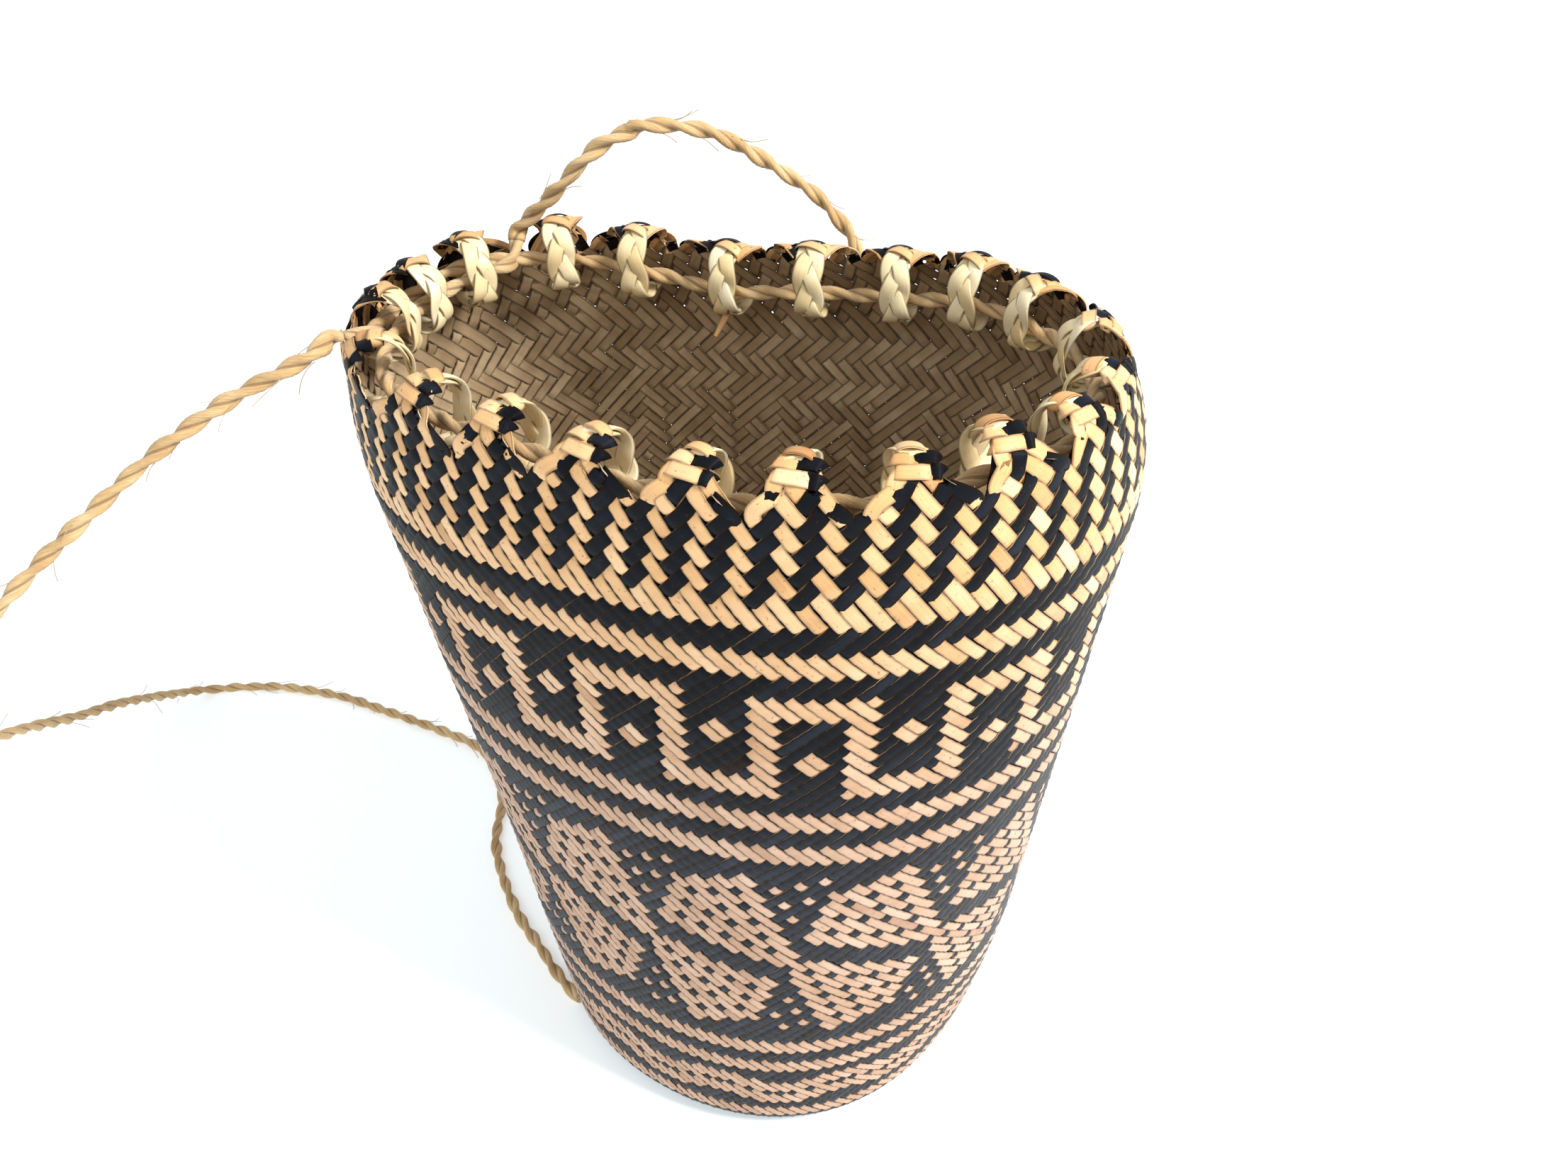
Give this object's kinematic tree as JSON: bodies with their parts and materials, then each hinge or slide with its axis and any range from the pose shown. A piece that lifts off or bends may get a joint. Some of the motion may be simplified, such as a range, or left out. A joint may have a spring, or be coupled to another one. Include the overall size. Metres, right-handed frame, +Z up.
{
  "type": "pack basket",
  "caption": "Tall woven pack basket with an oval mouth, a rim of inward-curled teeth ending in braided eyelets, and a threaded cord whose ends form two shoulder straps.",
  "frame": {"origin": "under the foot, on the surface the basket stands on, near the middle of the foot", "axes": "+Z up through the mouth; -Y is the front as pictured; +X is the right-hand side seen from the front"},
  "size_m": [0.5208, 0.3523, 0.3949],
  "materials": {
    "weave": "satin plaited strips, undyed tan and black",
    "undyed_weave": "satin plaited strips, undyed",
    "braid": "pale peeled strips, satin",
    "cord": "two-ply plant-fibre cord, matte"
  },
  "bodies": {
    "root": {"basket_wall": "weave", "basket_floor": "undyed_weave", "rim_tooth_01": "weave", "rim_tooth_02": "weave", "rim_tooth_03": "weave", "rim_tooth_04": "weave", "rim_tooth_05": "weave", "rim_tooth_06": "weave", "rim_tooth_07": "weave", "rim_tooth_08": "weave", "rim_tooth_09": "weave", "rim_tooth_10": "weave", "rim_tooth_11": "weave", "rim_tooth_12": "weave", "rim_tooth_13": "weave", "rim_tooth_14": "weave", "rim_tooth_15": "weave", "rim_tooth_16": "weave", "rim_tooth_17": "weave", "rim_tooth_18": "weave", "rim_tooth_19": "weave", "rim_tooth_20": "weave", "rim_tooth_21": "weave", "rim_loop_01": "braid", "rim_loop_02": "braid", "rim_loop_03": "braid", "rim_loop_04": "braid", "rim_loop_05": "braid", "rim_loop_06": "braid", "rim_loop_07": "braid", "rim_loop_08": "braid", "rim_loop_09": "braid", "rim_loop_10": "braid", "rim_loop_11": "braid", "rim_loop_12": "braid", "rim_loop_13": "braid", "rim_loop_14": "braid", "rim_loop_15": "braid", "rim_loop_16": "braid", "rim_loop_17": "braid", "rim_loop_18": "braid", "rim_loop_19": "braid", "rim_loop_20": "braid", "rim_loop_21": "braid", "rim_cord": "cord", "strap_left": "cord", "strap_back": "cord"}
  },
  "joints": []
}
